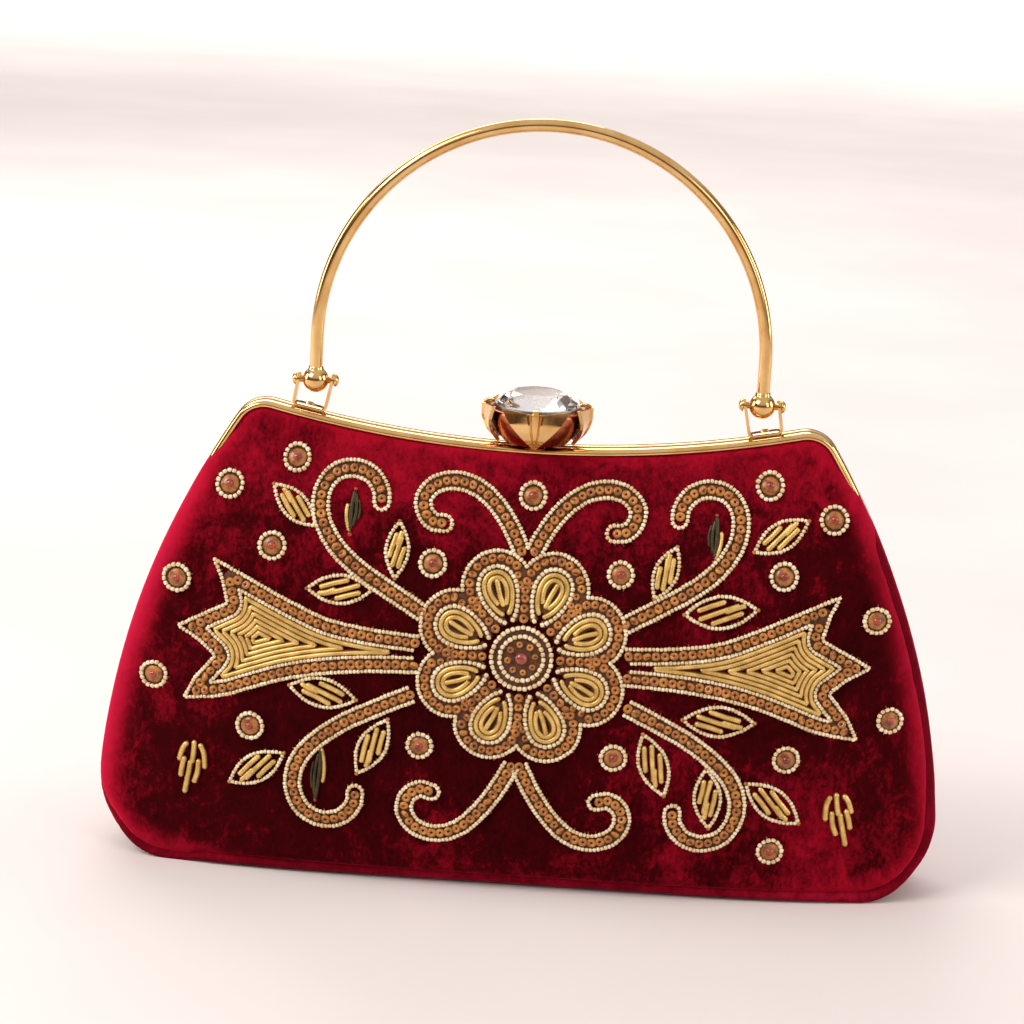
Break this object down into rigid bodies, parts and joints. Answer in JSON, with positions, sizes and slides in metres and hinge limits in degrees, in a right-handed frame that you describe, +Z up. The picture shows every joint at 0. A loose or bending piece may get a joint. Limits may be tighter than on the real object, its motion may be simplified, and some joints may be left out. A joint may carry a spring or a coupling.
{
  "type": "evening bag",
  "caption": "Hard-shell velvet evening bag with beaded front, gilt top rail, hinged wire handle and a rocking crystal clasp; the halves open on a hinge along the base.",
  "frame": {"origin": "middle of the base, on the surface it stands on", "axes": "+X to the bag's left-to-right width as seen from the beaded front, +Y towards the back, +Z up"},
  "size_m": [0.251, 0.0586, 0.2244],
  "materials": {
    "velvet": "wine-red pile velvet",
    "satin": "dark red satin lining",
    "foam": "soft foam and wadding sheet",
    "board": "moulded board",
    "gilt_metal": "polished gold plate",
    "spring_steel": "bright wire",
    "beads": "opaque cream and amber-brown glass seed beads with gold bullion",
    "bullion": "coiled gold bullion wire",
    "crystal": "clear faceted crystal"
  },
  "bodies": {
    "back_half": {"back_rail": "gilt_metal", "back_board": "board", "back_foam": "foam", "back_panel": "velvet", "back_wall": "velvet", "back_lining": "satin", "inner_pocket": "satin", "left_gusset": "satin", "right_gusset": "satin", "back_hinge_leaf": "gilt_metal", "base_hinge_pin": "gilt_metal", "back_hinge_rivets": "gilt_metal", "left_clevis": "gilt_metal", "right_clevis": "gilt_metal", "rail_rivets": "gilt_metal", "handle_pivot_pins": "gilt_metal", "clasp_bracket": "gilt_metal", "clasp_pivot_pin": "gilt_metal", "clasp_springs": "spring_steel"},
    "front_half": {"front_rail": "gilt_metal", "front_board": "board", "front_foam": "foam", "front_panel": "velvet", "front_wall": "velvet", "front_lining": "satin", "front_hinge_leaf": "gilt_metal", "front_hinge_rivets": "gilt_metal", "clasp_striker": "gilt_metal", "flower_beadwork": "beads", "scroll_beadwork": "beads", "fan_beadwork": "beads", "leaf_bullion": "bullion", "dot_beadwork": "beads", "sprig_bullion": "bullion"},
    "handle": {"handle_arch": "gilt_metal", "handle_balls": "gilt_metal"},
    "clasp": {"clasp_lever": "gilt_metal", "clasp_cup": "gilt_metal", "crystal_seat": "gilt_metal", "clasp_crystal": "crystal"}
  },
  "joints": [
    {"name": "front_swing", "type": "hinge", "parent": "back_half", "child": "front_half", "pos_m": [0, 0, 0.0019], "axis": [1, 0, 0], "range_deg": [0, 38]},
    {"name": "handle_swing", "type": "hinge", "parent": "back_half", "child": "handle", "pos_m": [0, 0, 0.145], "axis": [1, 0, 0], "range_deg": [-125, 125]},
    {"name": "clasp_rock", "type": "hinge", "parent": "back_half", "child": "clasp", "pos_m": [0, 0.0026, 0.1324], "axis": [-1, 0, 0], "range_deg": [0, 10], "stiffness_Nm_per_rad": 0.05, "springref_deg": -20.05}
  ]
}
